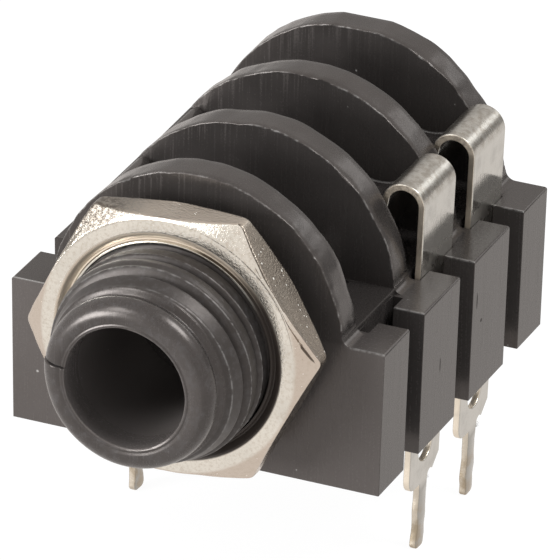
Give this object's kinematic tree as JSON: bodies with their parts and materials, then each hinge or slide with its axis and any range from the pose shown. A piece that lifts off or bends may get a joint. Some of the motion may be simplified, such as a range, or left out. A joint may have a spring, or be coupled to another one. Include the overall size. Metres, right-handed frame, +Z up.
{
  "type": "mono jack socket",
  "caption": "Quarter-inch mono jack socket: finned moulded body with a threaded bush and hexagon nut, hooked strip contacts and board pins.",
  "frame": {"origin": "on the jack axis, in the plane of the body's front face, which seats against the panel", "axes": "+X to the right seen from the front, +Y to the back along the jack axis, +Z up; the bush points along -Y and the pins along -Z"},
  "size_m": [0.0206, 0.0301, 0.0241],
  "materials": {
    "moulding": "satin black moulding with fine drag marks",
    "nut": "warm nickel plate",
    "contact": "warm nickel plated strip"
  },
  "bodies": {
    "housing": {"socket_body": "moulding", "sleeve_contact": "contact", "tip_contact": "contact", "sleeve_switch_contact": "contact", "tip_switch_contact": "contact"},
    "nut": {"hex_nut": "nut"}
  },
  "joints": [
    {"name": "nut_turn", "type": "hinge", "parent": "housing", "child": "nut", "pos_m": [0, 0, 0], "axis": [0, 1, 0], "continuous": true}
  ]
}
